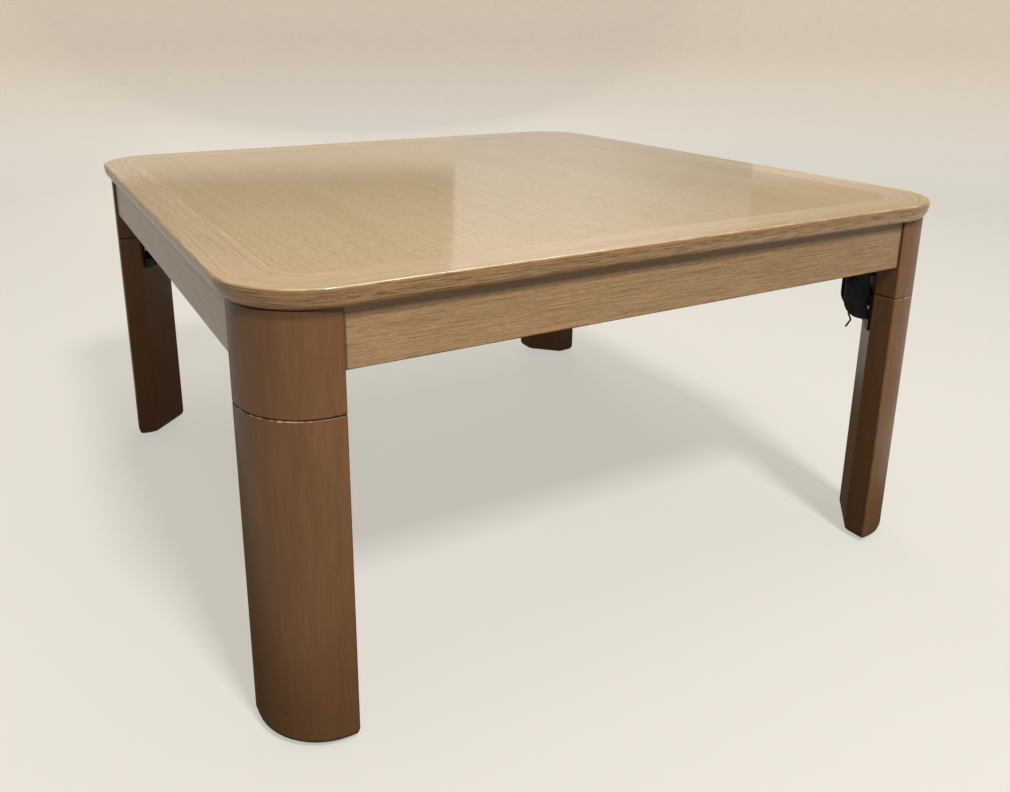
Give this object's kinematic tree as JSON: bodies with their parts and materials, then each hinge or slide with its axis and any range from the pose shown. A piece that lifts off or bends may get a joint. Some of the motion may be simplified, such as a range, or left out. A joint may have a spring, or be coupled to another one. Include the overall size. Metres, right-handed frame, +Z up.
{
  "type": "folding low table",
  "caption": "Square low table with a lacquered oak top, a bent rim, aprons and wide corner legs that fold flat under the top on sprung steel brackets.",
  "frame": {"origin": "on the floor under the middle of the square top, with the legs open", "axes": "+Z up; X and Y along the sides of the top; the front is the side at -Y"},
  "size_m": [0.75, 0.75, 0.385],
  "materials": {
    "top_oak": "clear gloss lacquer on straight-grain oak veneer",
    "rim_oak": "clear gloss lacquer on pale oak",
    "apron_oak": "satin lacquer on brown stained oak",
    "leg_wood": "satin lacquer on brown stained hardwood",
    "inner_wood": "planed softwood, unfinished",
    "black_steel": "black enamel on pressed sheet steel",
    "zinc_steel": "bright zinc plate",
    "spring_wire": "drawn spring steel wire",
    "felt": "pressed brown felt"
  },
  "bodies": {
    "table_frame": {"top_panel": "top_oak", "top_rim": "rim_oak", "apron_front": "apron_oak", "apron_right": "apron_oak", "apron_back": "apron_oak", "apron_left": "apron_oak", "cleat_front": "inner_wood", "cleat_right": "inner_wood", "cleat_back": "inner_wood", "cleat_left": "inner_wood", "corner_block_front_left": "leg_wood", "corner_block_front_right": "leg_wood", "corner_block_back_right": "leg_wood", "corner_block_back_left": "leg_wood", "bracket_base_front_left": "black_steel", "bracket_base_front_right": "black_steel", "bracket_base_back_right": "black_steel", "bracket_base_back_left": "black_steel", "pivot_pin_front_left": "black_steel", "pivot_pin_front_right": "black_steel", "pivot_pin_back_right": "black_steel", "pivot_pin_back_left": "black_steel", "base_screw_front_left_1": "zinc_steel", "base_screw_front_left_2": "zinc_steel", "base_screw_front_right_1": "zinc_steel", "base_screw_front_right_2": "zinc_steel", "base_screw_back_right_1": "zinc_steel", "base_screw_back_right_2": "zinc_steel", "base_screw_back_left_1": "zinc_steel", "base_screw_back_left_2": "zinc_steel"},
    "folding_leg_front_left": {"leg_front_left": "leg_wood", "foot_pad_front_left": "felt", "leg_bracket_front_left": "black_steel", "catch_pin_front_left": "black_steel", "leg_screw_front_left_1": "zinc_steel", "leg_screw_front_left_2": "zinc_steel"},
    "folding_leg_front_right": {"leg_front_right": "leg_wood", "foot_pad_front_right": "felt", "leg_bracket_front_right": "black_steel", "catch_pin_front_right": "black_steel", "leg_screw_front_right_1": "zinc_steel", "leg_screw_front_right_2": "zinc_steel"},
    "folding_leg_back_right": {"leg_back_right": "leg_wood", "foot_pad_back_right": "felt", "leg_bracket_back_right": "black_steel", "catch_pin_back_right": "black_steel", "leg_screw_back_right_1": "zinc_steel", "leg_screw_back_right_2": "zinc_steel"},
    "folding_leg_back_left": {"leg_back_left": "leg_wood", "foot_pad_back_left": "felt", "leg_bracket_back_left": "black_steel", "catch_pin_back_left": "black_steel", "leg_screw_back_left_1": "zinc_steel", "leg_screw_back_left_2": "zinc_steel"},
    "catch_front_left": {"wire_catch_front_left": "spring_wire"},
    "catch_front_right": {"wire_catch_front_right": "spring_wire"},
    "catch_back_right": {"wire_catch_back_right": "spring_wire"},
    "catch_back_left": {"wire_catch_back_left": "spring_wire"}
  },
  "joints": [
    {"name": "leg_fold_front_left", "type": "hinge", "parent": "table_frame", "child": "folding_leg_front_left", "pos_m": [-0.31226, -0.31226, 0.3497], "axis": [0.7071, -0.7071, 0], "range_deg": [0, 90], "deforming": ["wire_catch_front_left"]},
    {"name": "leg_fold_front_right", "type": "hinge", "parent": "table_frame", "child": "folding_leg_front_right", "pos_m": [0.31226, -0.31226, 0.3497], "axis": [0.7071, 0.7071, 0], "range_deg": [0, 90], "deforming": ["wire_catch_front_right"]},
    {"name": "leg_fold_back_right", "type": "hinge", "parent": "table_frame", "child": "folding_leg_back_right", "pos_m": [0.31226, 0.31226, 0.3497], "axis": [-0.7071, 0.7071, 0], "range_deg": [0, 90], "deforming": ["wire_catch_back_right"]},
    {"name": "leg_fold_back_left", "type": "hinge", "parent": "table_frame", "child": "folding_leg_back_left", "pos_m": [-0.31226, 0.31226, 0.3497], "axis": [-0.7071, -0.7071, 0], "range_deg": [0, 90], "deforming": ["wire_catch_back_left"]},
    {"name": "catch_press_front_left", "type": "hinge", "parent": "folding_leg_front_left", "child": "catch_front_left", "pos_m": [-0.30661, -0.30661, 0.2945], "axis": [-0.7071, 0.7071, 0], "range_deg": [0, 3.5], "stiffness_Nm_per_rad": 0.3, "springref_deg": -20.05, "deforming": ["wire_catch_front_left"]},
    {"name": "catch_press_front_right", "type": "hinge", "parent": "folding_leg_front_right", "child": "catch_front_right", "pos_m": [0.30661, -0.30661, 0.2945], "axis": [-0.7071, -0.7071, 0], "range_deg": [0, 3.5], "stiffness_Nm_per_rad": 0.3, "springref_deg": -20.05, "deforming": ["wire_catch_front_right"]},
    {"name": "catch_press_back_right", "type": "hinge", "parent": "folding_leg_back_right", "child": "catch_back_right", "pos_m": [0.30661, 0.30661, 0.2945], "axis": [0.7071, -0.7071, 0], "range_deg": [0, 3.5], "stiffness_Nm_per_rad": 0.3, "springref_deg": -20.05, "deforming": ["wire_catch_back_right"]},
    {"name": "catch_press_back_left", "type": "hinge", "parent": "folding_leg_back_left", "child": "catch_back_left", "pos_m": [-0.30661, 0.30661, 0.2945], "axis": [0.7071, 0.7071, 0], "range_deg": [0, 3.5], "stiffness_Nm_per_rad": 0.3, "springref_deg": -20.05, "deforming": ["wire_catch_back_left"]}
  ]
}
